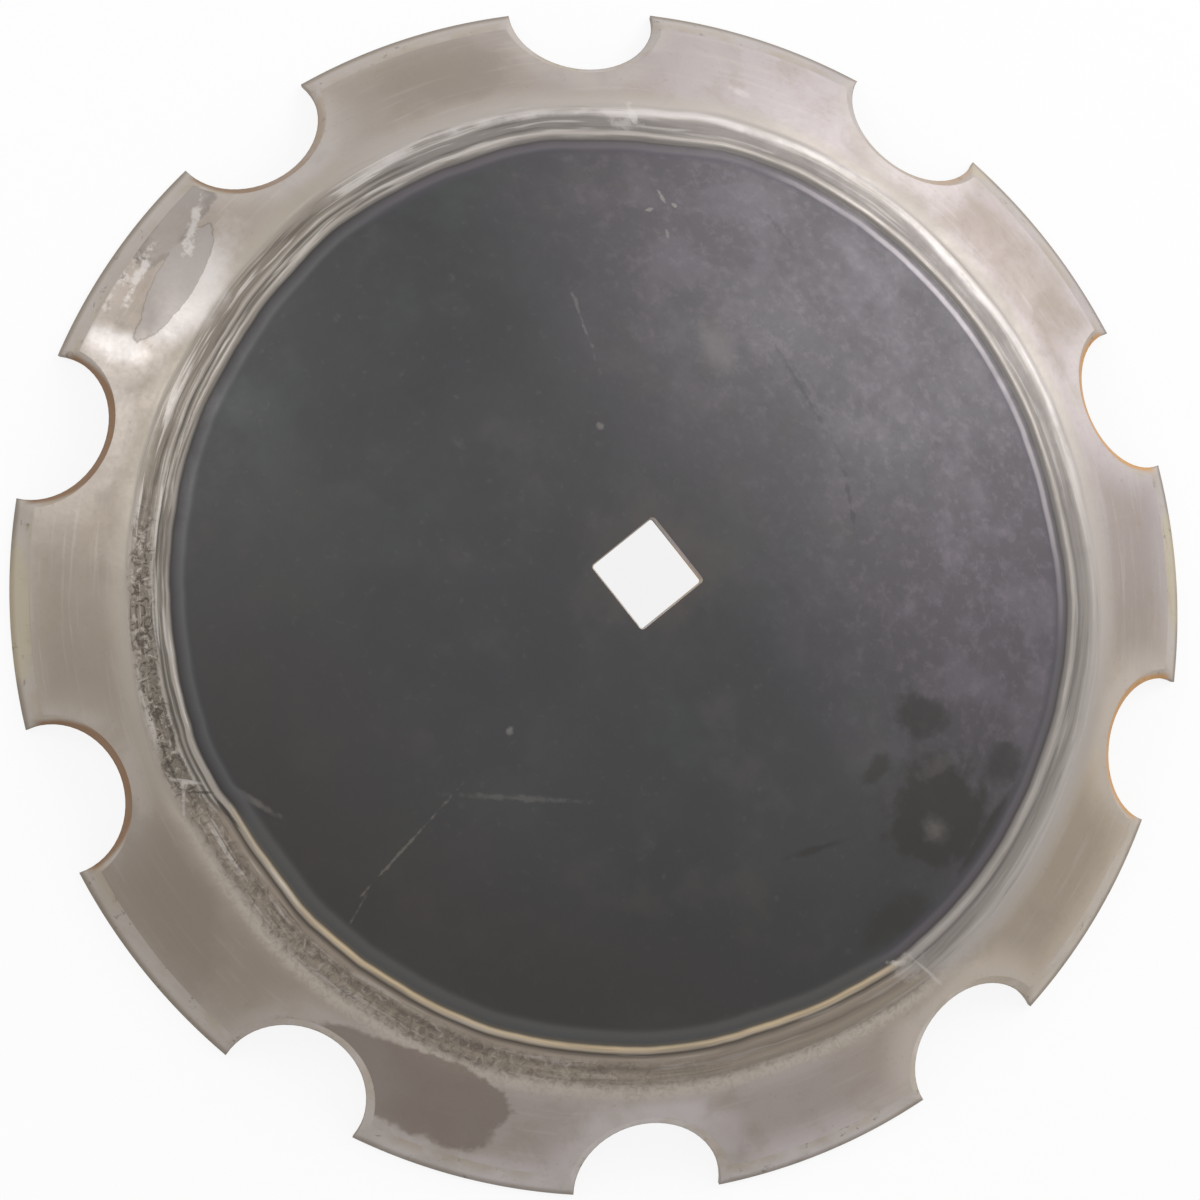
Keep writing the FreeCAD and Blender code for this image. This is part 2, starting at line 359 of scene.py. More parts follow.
from_centre = [vector(t, "SUBTRACT", given[n], tuple(centre)) for n in ("First Line", "Last Line")]
first_ball, last_ball = [vector(t, "LENGTH", v) for v in from_centre]
ball_here = calc(t, "MULTIPLY_ADD", calc(t, "SUBTRACT", last_ball, first_ball), plain_row, first_ball)
way = vector(t, "NORMALIZE", between(t, *from_centre, plain_row))
lifted = vector(t, "ADD", vector(t, "SCALE", way, scale=ball_here), tuple(centre))
place = node(t, "GeometryNodeSetPosition")
wire(t, marked, place.inputs["Geometry"])
wire(t, lifted, place.inputs["Position"])
wire(t, place.outputs[0], result["Geometry"])
print("band:", len(t.nodes), "nodes")

# %% [markdown]
# The blade is a loop of bands: out over the domed face, down the rim, back along
# the hollow face and up the hole. One tooth is made and turned ten times about
# the axis, the hub is made once, and the seams are welded.
# The pressed ring is raised afterwards on both faces together, as a press does.
# Its section is a narrow bead, a shelf and an outer slope. A slow noise makes
# the ring wander a little, and the same wandering distance is stored for the
# finish, so that the colours follow the metal.

# %% Blade tree
blade_inputs = [
    ("Geometry", "Geometry"),
    ("Columns In A Tooth", "Int", 60),
    ("Ring Height", "Float", 1.2 * MM),
    ("Ring Wander", "Float", 5.0 * MM),
    ("Seed", "Float", 7.0),
    ("Dome Finish", "Material"),
    ("Edge Finish", "Material"),
    ("Hollow Finish", "Material"),
]
blade_tree, given, result = group(
    "Disc blade", "GeometryNodeTree", blade_inputs, [("Geometry", "Geometry")]
)
t = blade_tree
hub_reach, ring_start, ring_end = 60 * MM, 225 * MM, 255 * MM
bevel_reach, bevel_bite = rim_reach - 9 * MM, notch_bite + 5 * MM
across = recall(t, "across")
land_ball = ramp(t, calc(t, "ABSOLUTE", across), 0.40, 0.56, notch_ball, rim_ball)
DOME, EDGE, HOLLOW = 0, 1, 2


def tooth_at(reach, ball, bite=0.0, half_pitch=math.pi / notch_count):
    """A line across one tooth."""
    placed = use(t, tooth_line, Across=across, Reach=reach, Bite=bite, Ball=ball, Half_Pitch=half_pitch)
    return placed.outputs["Line"]


def hole_at(half, ball, corner=1.5 * MM):
    """A line round the hole."""
    return use(t, hole_line, Across=across, Half=half, Corner=corner, Ball=ball).outputs["Line"]


def strip(first, last, rows, finish, columns, hem=0.0):
    """One band of the blade."""
    placed = use(t, band, Columns=columns, Rows=rows, Hem=hem, Finish=finish)
    wire(t, first, placed.inputs["First Line"])
    wire(t, last, placed.inputs["Last Line"])
    return placed.outputs["Geometry"]


tooth_lines = [
    (tooth_at(hub_reach, dome_ball), 12, DOME, 0),
    (tooth_at(ring_start, dome_ball), 40, DOME, 0),
    (tooth_at(ring_end, dome_ball), 11, DOME, 0.02),
    (tooth_at(bevel_reach, dome_ball, bevel_bite), 5, EDGE, 0.05),
    (tooth_at(rim_reach, land_ball, notch_bite), 5, EDGE, 0.09),
    (tooth_at(rim_foot, dish_ball, notch_bite), 10, HOLLOW, 0.02),
    (tooth_at(ring_end, dish_ball), 24, HOLLOW, 0),
    (tooth_at(ring_start, dish_ball), 10, HOLLOW, 0),
    (tooth_at(hub_reach, dish_ball), 0, 0, 0),
]
edge_break = 0.6 * MM
full_turn = {"half_pitch": math.pi}
hub_lines = [
    (tooth_at(hub_reach, dish_ball, **full_turn), 6, HOLLOW, 0.01),
    (hole_at(hole_half + edge_break, dish_ball, 2.1 * MM), 2, EDGE, 0),
    (hole_at(hole_half, dish_ball + edge_break), 4, EDGE, 0.08),
    (hole_at(hole_half, dome_ball - edge_break), 2, EDGE, 0),
    (hole_at(hole_half + edge_break, dome_ball, 2.1 * MM), 7, DOME, 0.01),
    (tooth_at(hub_reach, dome_ball, **full_turn), 0, 0, 0),
]


def chain(lines, columns):
    """Joins the bands between each line and the next."""
    joined = node(t, "GeometryNodeJoinGeometry")
    for (first, rows, finish, hem), (last, *_) in zip(lines, lines[1:]):
        wire(t, strip(first, last, rows, finish, columns, hem), joined.inputs[0])
    return joined.outputs[0]


tooth = chain(tooth_lines, given["Columns In A Tooth"])
hub = chain(hub_lines, calc(t, "MULTIPLY", given["Columns In A Tooth"], float(notch_count)))

stations = node(t, "GeometryNodePoints")
stations.inputs["Count"].default_value = notch_count
number = node(t, "GeometryNodeInputIndex").outputs[0]
facing = node(t, "GeometryNodeInstanceOnPoints")
wire(t, stations.outputs[0], facing.inputs["Points"])
wire(t, tooth, facing.inputs["Instance"])
wire(t, point(t, 0.0, 0.0, calc(t, "MULTIPLY", number, 2 * math.pi / notch_count)), facing.inputs["Rotation"])
apart = node(t, "GeometryNodeJoinGeometry")
wire(t, facing.outputs[0], apart.inputs[0])
wire(t, hub, apart.inputs[0])
loose = node(t, "GeometryNodeRealizeInstances")
wire(t, apart.outputs[0], loose.inputs[0])
welded = node(t, "GeometryNodeMergeByDistance")
wire(t, loose.outputs[0], welded.inputs["Geometry"])
welded.inputs["Distance"].default_value = 0.01 * MM
outward = node(t, "GeometryNodeFlipFaces")
wire(t, welded.outputs[0], outward.inputs[0])
print("blade tree:", len(t.nodes), "nodes so far")

# %% Pressed ring
here = node(t, "GeometryNodeInputPosition").outputs[0]
flat_here = vector(t, "MULTIPLY", here, (1.0, 1.0, 0.0))
ring_way = vector(t, "NORMALIZE", flat_here)


def swing(tree, scale, detail):
    """A wave round the ring, from about -0.5 to 0.5."""
    noise = node(tree, "ShaderNodeTexNoise", noise_dimensions="4D")
    wire(tree, ring_way, noise.inputs["Vector"])
    wire(tree, given["Seed"], noise.inputs["W"])
    noise.inputs["Scale"].default_value = scale
    noise.inputs["Detail"].default_value = detail
    return calc(tree, "SUBTRACT", noise.outputs[0], 0.5)


slow_swing, quick_swing = swing(t, 1.6, 2.0), swing(t, 9.0, 3.0)
waves = calc(t, "MULTIPLY_ADD", quick_swing, 0.45, slow_swing)
ring_reach = calc(t, "MULTIPLY_ADD", waves, given["Ring Wander"], vector(t, "LENGTH", flat_here))
# Each kink: angle and spread in degrees, shift in millimetres toward the axis.
kink_rows = [
    (84, 38, 2.2), (140, 12, 2.6), (168, 14, 1.0), (196, 18, 1.2),
    (264, 14, 2.0), (255, 6, -2.0), (6, 24, -2.4), (40, 20, -1.2),
]
for angle, spread, shift in kink_rows:
    side_way = (math.cos(math.radians(angle)), math.sin(math.radians(angle)), 0.0)
    nearness = ramp(t, vector(t, "DOT_PRODUCT", ring_way, side_way), math.cos(math.radians(spread)), 1.0)
    ring_reach = calc(t, "MULTIPLY_ADD", nearness, shift * MM, ring_reach)
kept = remember(t, outward.outputs[0], "ring_reach", ring_reach)

ring_section = [
    (225, 0.0), (229, 0.02), (230.2, 0.35), (232, 1.0), (233.6, 0.85), (235.2, 0.62),
    (238, 0.72), (243, 0.95), (246, 0.92), (249, 0.3), (251, 0.0), (255, 0.0),
]
profile = node(t, "ShaderNodeFloatCurve")
wire(t, ramp(t, recall(t, "ring_reach"), ring_start, ring_end, smooth=False), profile.inputs["Value"])
curve = profile.mapping.curves[0]
for at_mm, rise in ring_section:
    spot = ((at_mm * MM - ring_start) / (ring_end - ring_start), rise)
    if at_mm in (225, 255):
        curve.points[0 if at_mm == 225 else -1].location = spot
    else:
        curve.points.new(*spot)
profile.mapping.update()
uneven = calc(t, "MULTIPLY_ADD", quick_swing, 0.7, 0.92, clamp=True)
lift = calc(t, "MULTIPLY", calc(t, "MULTIPLY", profile.outputs[0], uneven), given["Ring Height"])
way = vector(t, "NORMALIZE", vector(t, "SUBTRACT", here, tuple(centre)))
pressed = node(t, "GeometryNodeSetPosition")
wire(t, kept, pressed.inputs["Geometry"])
wire(t, vector(t, "SCALE", way, scale=lift), pressed.inputs["Offset"])
smooth = node(t, "GeometryNodeSetShadeSmooth")
wire(t, pressed.outputs[0], smooth.inputs["Geometry"])
whole = node(t, "GeometryNodeRealizeInstances")
wire(t, smooth.outputs[0], whole.inputs[0])
finished = whole.outputs[0]
for name, mark in (("Dome Finish", DOME), ("Edge Finish", EDGE), ("Hollow Finish", HOLLOW)):
    coat = node(t, "GeometryNodeSetMaterial")
    wire(t, finished, coat.inputs["Geometry"])
    if mark != DOME:
        same = node(t, "FunctionNodeCompare", data_type="INT", operation="EQUAL")
        wire(t, recall(t, "finish", kind="INT"), same.inputs[2])
        same.inputs[3].default_value = mark
        wire(t, same.outputs[0], coat.inputs["Selection"])
    wire(t, given[name], coat.inputs["Material"])
    finished = coat.outputs[0]
wire(t, finished, result["Geometry"])
print("blade tree:", len(t.nodes), "nodes")


# %% [markdown]
# Colours are written as a painter would read them off a card, and turned to the
# linear values that the shaders work in.

# %% Colours and material helpers
def card(code):
    """A colour from its six digit code."""
    steps = [int(code[n : n + 2], 16) / 255 for n in (0, 2, 4)]
    return (*[v / 12.92 if v <= 0.04045 else ((v + 0.055) / 1.055) ** 2.4 for v in steps], 1.0)


def mix(tree, amount, first, second, blend="MIX"):
    """Two colours mixed."""
    step = node(tree, "ShaderNodeMix", data_type="RGBA", blend_type=blend)
    wire(tree, amount, step.inputs[0])
    wire(tree, first, step.inputs[6])
    wire(tree, second, step.inputs[7])
    return step.outputs[2]


def cloud(tree, where, scale, detail=4.0, rough=0.55, seed=0.0, distortion=0.0):
    """Noise between 0 and 1. The seed moves it to another part of the same noise."""
    step = node(tree, "ShaderNodeTexNoise")
    moved = vector(tree, "ADD", where, point(tree, seed, seed, seed)) if seed else where
    wire(tree, moved, step.inputs["Vector"])
    settings = {"Scale": scale, "Detail": detail, "Roughness": rough, "Distortion": distortion}
    for name, value in settings.items():
        wire(tree, value, step.inputs[name])
    return step.outputs[0]


def between_numbers(tree, amount, first, second):
    """A number part of the way from one to another."""
    step = node(tree, "ShaderNodeMix", data_type="FLOAT")
    for value, slot in ((amount, 0), (first, 2), (second, 3)):
        wire(tree, value, step.inputs[slot])
    return step.outputs[0]


def new_material(name, roughness, metallic):
    """A material with one Principled shader."""
    made = bpy.data.materials.new(name)
    made.use_nodes = True
    shader = made.node_tree.nodes["Principled BSDF"]
    shader.inputs["Roughness"].default_value = roughness
    shader.inputs["Metallic"].default_value = metallic
    return made, made.node_tree, shader


def blend_in(tree, mask, below, colour, strength=1.0):
    """A colour laid over another where a mask says so."""
    amount = mask if strength == 1.0 else calc(tree, "MULTIPLY", mask, strength)
    return mix(tree, amount, below, colour)


def heading(tree, flat_unit, degrees, start, end):
    """A mask that grows toward one side of the blade, given as an angle."""
    way = (math.cos(math.radians(degrees)), math.sin(math.radians(degrees)), 0.0)
    return ramp(tree, vector(tree, "DOT_PRODUCT", flat_unit, way), start, end)


def both_masks(tree, *masks):
    """Where every mask says yes."""
    result = masks[0]
    for mask in masks[1:]:
        result = calc(tree, "MULTIPLY", result, mask)
    return result


def ridge(tree, value, start, top_start, top_end, end):
    """A mask that rises, stays and falls again."""
    return both_masks(tree, ramp(tree, value, start, top_start), ramp(tree, value, top_end, end, 1.0, 0.0))


print("colour helpers ready")

# %% [markdown]
# Stains, smears, scratches, splashes and the painted highlight washes are all one
# thing: an oval on the sheet at some angle and distance from the axis, turned,
# stretched and torn at its edge by noise. One group makes them all. A scratch is
# a very thin one.

# %% Blot mask
blot_inputs = [
    ("Vector", "Vector"),
    ("Angle", "Float"),
    ("Reach", "Float"),
    ("Long", "Float"),
    ("Short", "Float"),
    ("Turn", "Float"),
    ("Noise", "Float", 0.5),
    ("Torn", "Float", 0.4),
    ("Soft", "Float", 0.5),
]
blot, given, result = group("Blot", "ShaderNodeTree", blot_inputs, [("Mask", "Float")])
t = blot


def turned(tree, where, angle):
    """A point turned about the axis, by an angle in degrees."""
    step = node(tree, "ShaderNodeVectorRotate", rotation_type="Z_AXIS")
    wire(tree, where, step.inputs["Vector"])
    wire(tree, calc(tree, "MULTIPLY", angle, math.pi / 180), step.inputs["Angle"])
    return step.outputs[0]


level = turned(t, given["Vector"], calc(t, "MULTIPLY", given["Angle"], -1.0))
level = vector(t, "SUBTRACT", level, point(t, given["Reach"], 0.0, 0.0))
level = turned(t, vector(t, "MULTIPLY", level, (1.0, 1.0, 0.0)), calc(t, "MULTIPLY", given["Turn"], -1.0))
level = vector(t, "DIVIDE", level, point(t, given["Long"], given["Short"], 1.0))
away = vector(t, "LENGTH", level)
tear = calc(t, "MULTIPLY", calc(t, "SUBTRACT", given["Noise"], 0.5), calc(t, "MULTIPLY", given["Torn"], 4.0))
away = calc(t, "ADD", away, tear)
wire(t, ramp(t, away, 1.0, calc(t, "SUBTRACT", 1.0, given["Soft"])), result["Mask"])
print("blot:", len(t.nodes), "nodes")


def blots(tree, where, noise, rows):
    """Several blots as one mask. A row holds the angle, the reach, the long and
    short half widths in millimetres, the turn, torn, soft and the strength."""
    total = None
    for angle, reach_mm, long_mm, short_mm, turn_deg, torn, soft, strength in rows:
        one = use(tree, blot, Vector=where, Noise=noise, Angle=angle, Reach=reach_mm * MM, Long=long_mm * MM,
                  Short=short_mm * MM, Turn=turn_deg, Torn=torn, Soft=soft).outputs["Mask"]
        one = calc(tree, "MULTIPLY", one, strength)
        total = one if total is None else calc(tree, "MAXIMUM", total, one)
    return total


# %% [markdown]
# Handling marks gather at the edges, so the finish has to know how far the
# nearest edge is. The ruler folds all ten teeth onto one and measures to the
# notch circle and to the rim. It also gives each lobe a number of its own, since
# no two lobes carry quite the same film of oil.

# %% Tooth ruler
ruler_outputs = [("Gap", "Float"), ("Own Tone", "Float")]
ruler, given, result = group("Tooth ruler", "ShaderNodeTree", [("Vector", "Vector")], ruler_outputs)
t = ruler
x, y, _ = parts(t, given["Vector"])
reach = vector(t, "LENGTH", vector(t, "MULTIPLY", given["Vector"], (1.0, 1.0, 0.0)))
pitches = calc(t, "DIVIDE", calc(t, "ARCTAN2", y, x), 2 * math.pi / notch_count)
beside = calc(t, "SUBTRACT", pitches, calc(t, "ROUND", pitches))
beside = calc(t, "MULTIPLY", beside, 2 * math.pi / notch_count)
in_x = calc(t, "MULTIPLY_ADD", reach, calc(t, "COSINE", beside), 1.5 * MM - rim_reach)
in_y = calc(t, "MULTIPLY", reach, calc(t, "SINE", beside))
to_notch = calc(t, "SUBTRACT", vector(t, "LENGTH", point(t, in_x, in_y, 0.0)), notch_bite)
to_rim = calc(t, "SUBTRACT", rim_reach, reach)
wire(t, calc(t, "SMOOTH_MIN", to_notch, to_rim, 8 * MM), result["Gap"])
chance = node(t, "ShaderNodeTexWhiteNoise", noise_dimensions="1D")
wire(t, calc(t, "ADD", calc(t, "FLOOR", pitches), 0.37), chance.inputs["W"])
aside = ramp(t, calc(t, "ABSOLUTE", beside), 0.02, 0.11)
wire(t, calc(t, "MULTIPLY", chance.outputs["Value"], aside), result["Own Tone"])
print("tooth ruler:", len(t.nodes), "nodes")

# %% [markdown]
# The middle of both faces still carries its dark quench scale under a film of
# oil: nearly black, never one black. Slow clouds drift between a warm and a cold
# grey, and finer ones leave it mottled. Both faces share this group.

# %% Dark scale
steel_outputs = [("Colour", "Color"), ("Roughness", "Float"), ("Height", "Float")]
scale_skin, given, result = group(
    "Dark scale", "ShaderNodeTree", [("Vector", "Vector"), ("Seed", "Float", 3.0)], steel_outputs
)
t = scale_skin
where = given["Vector"]
slow = cloud(t, where, 5.0, 3.0, 0.5, given["Seed"])
middling = cloud(t, where, 26.0, 4.0, 0.6, given["Seed"])
fine = cloud(t, where, 210.0, 4.0, 0.6, given["Seed"])
colour = mix(t, ramp(t, slow, 0.35, 0.65), card("323234"), card("3B393B"))
colour = blend_in(t, ramp(t, middling, 0.50, 0.72), colour, card("464340"), 0.55)
colour = blend_in(t, ramp(t, cloud(t, where, 14.0, 5.0, 0.6, 11.0), 0.52, 0.70), colour, card("3A3D3B"), 0.7)
colour = blend_in(t, ramp(t, fine, 0.58, 0.78), colour, card("55524F"), 0.35)
wire(t, colour, result["Colour"])
rough = ramp(t, middling, 0.3, 0.7, 0.40, 0.54)
wire(t, calc(t, "MULTIPLY_ADD", calc(t, "SUBTRACT", fine, 0.5), 0.16, rough), result["Roughness"])
bumps = calc(t, "MULTIPLY", fine, 0.05 * MM)
wire(t, calc(t, "MULTIPLY_ADD", middling, 0.25 * MM, bumps), result["Height"])
print("dark scale:", len(t.nodes), "nodes")

# %% [markdown]
# The rim has been heated, pressed and blasted, so it is bare steel: a warm light
# grey with a satin sheen, cloudy where oil has dried, with a fine grain that
# follows the turning of the blade.

# %% Bare steel
bare_skin, given, result = group(
    "Bare steel", "ShaderNodeTree", [("Vector", "Vector"), ("Seed", "Float", 5.0)], steel_outputs
)
t = bare_skin
where = given["Vector"]
flat = vector(t, "MULTIPLY", where, (1.0, 1.0, 0.0))
unit = vector(t, "NORMALIZE", flat)
measured = use(t, ruler, Vector=where).outputs
slow = cloud(t, where, 9.0, 2.0, 0.5, given["Seed"])
middling = cloud(t, where, 38.0, 4.0, 0.6, given["Seed"], 0.4)
fine = cloud(t, where, 420.0, 2.0, 0.6, given["Seed"])
spread_out = vector(t, "SCALE", unit, scale=6.0)
crosswise = point(t, 0.0, 0.0, calc(t, "MULTIPLY", vector(t, "LENGTH", flat), 400.0))
lines = cloud(t, vector(t, "ADD", spread_out, crosswise), 1.0, 3.0, 0.6, given["Seed"])
colour = mix(t, ramp(t, slow, 0.35, 0.65), card("A2978E"), card("AFA7A2"))
colour = blend_in(t, heading(t, unit, 90, 0.2, 0.95), colour, card("A79DA0"), 0.7)
colour = blend_in(t, heading(t, unit, 262, 0.2, 0.9), colour, card("988B7B"), 0.6)
colour = blend_in(t, heading(t, unit, 328, 0.6, 0.95), colour, card("C2B8B8"), 0.8)
colour = blend_in(t, heading(t, unit, 18, 0.8, 0.97), colour, card("BDAE9A"), 0.7)
off_ring = ramp(t, vector(t, "LENGTH", flat), 252 * MM, 264 * MM)
inland = both_masks(t, ramp(t, measured["Gap"], 5 * MM, 26 * MM), off_ring)
own = both_masks(t, inland, measured["Own Tone"])
colour = blend_in(t, own, colour, card("86796C"), 0.55)
colour = blend_in(t, ramp(t, middling, 0.45, 0.75), colour, card("948879"), 0.5)
halo = both_masks(t, ramp(t, measured["Gap"], 14 * MM, 4 * MM), ramp(t, middling, 0.30, 0.60))
colour = blend_in(t, halo, colour, card("BDB6B0"), 0.35)
colour = blend_in(t, ramp(t, lines, 0.52, 0.74), colour, card("BBB4AE"), 0.22)
colour = blend_in(t, ramp(t, fine, 0.62, 0.80), colour, card("7F756B"), 0.3)
wire(t, colour, result["Colour"])
rough = ramp(t, middling, 0.3, 0.7, 0.42, 0.56)
wire(t, calc(t, "MULTIPLY_ADD", calc(t, "SUBTRACT", fine, 0.5), 0.12, rough), result["Roughness"])
bumps = calc(t, "MULTIPLY_ADD", lines, 0.05 * MM, calc(t, "MULTIPLY", fine, 0.03 * MM))
wire(t, calc(t, "MULTIPLY_ADD", middling, 0.22 * MM, bumps), result["Height"])
print("bare steel:", len(t.nodes), "nodes")

# %% [markdown]
# The domed face puts the two together. The dark middle ends at the pressed ring
# in a few thin lines: fine rolling marks, with painted highlights and painted
# shade on the flanks of the bead and shelf. They are read off the stored distance
# across the ring, from three rows of colours: for the clean side, for the side
# where the die pinched it, and for the low side, with a straw coloured painted
# highlight on the inner flank of the bead.

# %% Domed face
dome_finish, t, shader = new_material("domed_face", 0.5, 0.0)
where = node(t, "ShaderNodeTexCoord").outputs["Object"]
flat = vector(t, "MULTIPLY", where, (1.0, 1.0, 0.0))
unit = vector(t, "NORMALIZE", flat)
reach_here = vector(t, "LENGTH", flat)
ring_at = node(t, "ShaderNodeAttribute", attribute_name="ring_reach").outputs["Fac"]
dark = use(t, scale_skin, Vector=where, Seed=3.0).outputs
bare = use(t, bare_skin, Vector=where, Seed=5.0).outputs


def colour_row(tree, value, stops, start=215, end=265):
    """Colours along a distance from the axis, in millimetres."""
    row = node(tree, "ShaderNodeValToRGB")
    wire(tree, ramp(tree, value, start * MM, end * MM, smooth=False), row.inputs[0])
    elements = row.color_ramp.elements
    while len(elements) < len(stops):
        elements.new(0.5)
    for element, (at_mm, code) in zip(elements, stops):
        element.position = (at_mm - start) / (end - start)
        element.color = card(code)
    return row.outputs[0]


# A purple tint and a painted highlight: the dome is lighter and more violet toward heading 85, the lamp side,
# where the broad highlight falls. The mottling within it is the sheet's own.
violet_lit_side = both_masks(t, heading(t, unit, 85, 0.1, 0.95), ramp(t, reach_here, 20 * MM, 190 * MM))
middle = blend_in(t, violet_lit_side, dark["Colour"], card("585058"), 0.55)
broad = cloud(t, where, 34.0, 5.0, 0.62, 21.0)
sharp = cloud(t, where, 170.0, 4.0, 0.65, 22.0)
middle = blend_in(t, both_masks(t, violet_lit_side, ramp(t, broad, 0.44, 0.66)), middle, card("6E666E"), 0.4)
middle = blend_in(t, both_masks(t, violet_lit_side, ramp(t, sharp, 0.48, 0.70)), middle, card("7A7078"), 0.3)
middle = blend_in(t, both_masks(t, violet_lit_side, ramp(t, sharp, 0.50, 0.30)), middle, card("48444A"), 0.25)
# Painted shade: the dome is darker and browner toward heading 290, the side away from the lamps.
shaded_side = both_masks(t, heading(t, unit, 290, 0.1, 1.0), ramp(t, reach_here, 110 * MM, 215 * MM))
middle = blend_in(t, shaded_side, middle, card("322D28"), 0.6)
hub_edge = calc(t, "MULTIPLY_ADD", broad, 60 * MM, reach_here)
middle = blend_in(t, ramp(t, hub_edge, 75 * MM, 45 * MM), middle, card("4B4540"), 0.5)

stain_rows = [
    (14, 193, 48, 52, 0, 0.3, 0.9, 0.65),
    (14.5, 193, 34, 38, 0, 0.4, 0.4, 0.9),
    (26, 157, 17, 15, 0, 0.5, 0.5, 0.8),
    (13.5, 152, 8, 15, 0, 0.7, 0.6, 0.7),
    (26, 213, 13, 17, 0, 0.5, 0.6, 0.75),
    (17, 221, 4.5, 42, 0, 0.3, 0.6, 0.9),
    (1, 216, 17, 34, 0, 0.5, 0.8, 0.7),
    (355.5, 161, 22, 2.6, 73, 0.6, 0.8, 0.7),
]
middle = blend_in(t, blots(t, where, broad, stain_rows), middle, card("25221C"), 0.85)
pale_rows = [
    (12.5, 197, 11, 9, 0, 0.3, 1.0, 0.4),
    (20, 178, 16, 7, 50, 0.5, 1.0, 0.2),
    (280, 102, 3.4, 2.4, 0, 0.5, 0.8, 0.7),
    (122.5, 122, 20, 13, 30, 0.4, 0.9, 0.4),
    (158, 76, 3, 2, 20, 0.5, 0.8, 0.6),
    (136.5, 196, 4.2, 1.2, 30, 0.8, 0.6, 1.0),
    (134.5, 192, 2.2, 1.3, 70, 0.6, 0.5, 1.0),
    (138.5, 188, 2.4, 1.2, 110, 0.6, 0.5, 0.9),
    (135.5, 175, 2.6, 1.2, 10, 0.6, 0.5, 0.6),
    (260, 221, 22, 2.4, 120, 0.3, 0.7, 0.55),
    (291.7, 125.7, 36, 2.0, -64, 0.7, 0.9, 0.3),
    (154, 129, 22, 1.2, 4, 1.0, 0.9, 0.4),
]
middle = blend_in(t, blots(t, where, sharp, pale_rows), middle, card("8A8580"), 0.6)
scratch_rows = [(280, 176, 42, 0.9, 0, 1.0, 0.9, 1.0), (281, 214, 9, 0.8, 12, 0.9, 0.9, 0.8)]
middle = blend_in(t, blots(t, where, sharp, scratch_rows), middle, card("6D675F"), 0.6)
streak_rows = [
    (101, 126.6, 42, 1.7, -110, 0.9, 0.8, 0.9),
    (103, 131, 26, 1.2, -112, 1.2, 0.8, 0.6),
    (72.4, 113, 22, 1.3, -101, 1.1, 0.8, 0.8),
    (118, 196, 16, 1.4, 60, 1.2, 0.9, 0.5),
]
middle = blend_in(t, blots(t, where, sharp, streak_rows), middle, card("2E2C2E"), 0.7)

# Ripples run along the ring. Crinkles have no direction.
crosswise = point(t, 0.0, 0.0, calc(t, "MULTIPLY", ring_at, 430.0))
long_way = vector(t, "ADD", vector(t, "SCALE", unit, scale=5.0), crosswise)
ripples = cloud(t, long_way, 1.0, 2.0, 0.5, 9.0)
crinkle = cloud(t, where, 260.0, 3.0, 0.62, 10.0, 1.0)
patchy = cloud(t, unit, 3.2, 2.0, 0.5, 14.0)
# Besides the ring's own marks, the rows hold painted highlights on flanks that face the lamps and painted
# shade on flanks that face away.
clean_row = [
    (215, "46434A"), (222.8, "4C484E"), (225, "5F5B5F"), (227.2, "5A5558"), (228.8, "4A4646"),
    (230.2, "7F7974"), (232.6, "A8A09A"), (234.2, "9B948E"), (235.6, "716B67"), (237.2, "89827D"),
    (241, "8E8781"), (245, "A49D97"), (249, "ACA49E"), (256, "A69E96"), (265, "A69D96"),
]
creased_row = [
    (215, "3B3A3B"), (221, "3F4041"), (223.5, "5B5A5B"), (226.5, "4B494A"), (229, "3A3736"),
    (230.6, "938C84"), (232.0, "A79F96"), (233.2, "6A635C"), (234.6, "9A9389"), (235.8, "544E48"),
    (237.4, "A59D94"), (239.4, "7A7268"), (245, "80776C"), (249, "A69D92"), (256, "A3998D"), (265, "9C9184"),
]
# Painted highlight: the straw coloured line on the inner flank of the bead, on the low side where that flank
# faces the lamps. Patches of it are dimmed again below.
golden_highlight_row = [
    (215, "3A3836"), (220, "444342"), (223, "5A5957"), (227.6, "515050"), (229.4, "5F594E"),
    (230.6, "BDA888"), (232.0, "B3A48F"), (233.4, "4E4741"), (236, "9A8D7F"), (240.5, "7C7166"),
    (244, "968A7C"), (248, "897E73"), (252.5, "AFA498"), (257, "9F9285"), (265, "94887B"),
]
golden_highlight_way = (math.cos(math.radians(309)), math.sin(math.radians(309)), 0.0)
golden_highlight_side = vector(t, "DOT_PRODUCT", unit, golden_highlight_way)
golden_highlight_side = calc(t, "MULTIPLY_ADD", calc(t, "SUBTRACT", ring_at, 233 * MM), 2.8, golden_highlight_side)
golden_highlight = ramp(t, golden_highlight_side, 0.64, 0.70)
creased = heading(t, unit, 220, 0.64, 0.80)
lines_here = colour_row(t, ring_at, clean_row)
shaded = ridge(t, ring_at, 232 * MM, 236 * MM, 241 * MM, 245 * MM)
shaded = both_masks(t, shaded, heading(t, unit, 110, 0.2, 0.8))
lines_here = blend_in(t, shaded, lines_here, card("77716E"), 0.75)
lines_here = mix(t, creased, lines_here, colour_row(t, ring_at, creased_row))
lines_here = mix(t, golden_highlight, lines_here, colour_row(t, ring_at, golden_highlight_row))
dimmed_golden_highlight = both_masks(t, golden_highlight, ridge(t, ring_at, 229.4 * MM, 230.2 * MM, 232.4 * MM, 233.4 * MM))
dullest = ramp(t, heading(t, unit, 325, 0.2, 1.0), 1.0, 0.0, 0.25, 1.0)
dimmed_golden_highlight = both_masks(t, dimmed_golden_highlight, ramp(t, patchy, 0.62, 0.42), dullest)
lines_here = blend_in(t, dimmed_golden_highlight, lines_here, card("938B80"), 0.85)
border = ridge(t, ring_at, 246 * MM, 251 * MM, 254 * MM, 259 * MM)
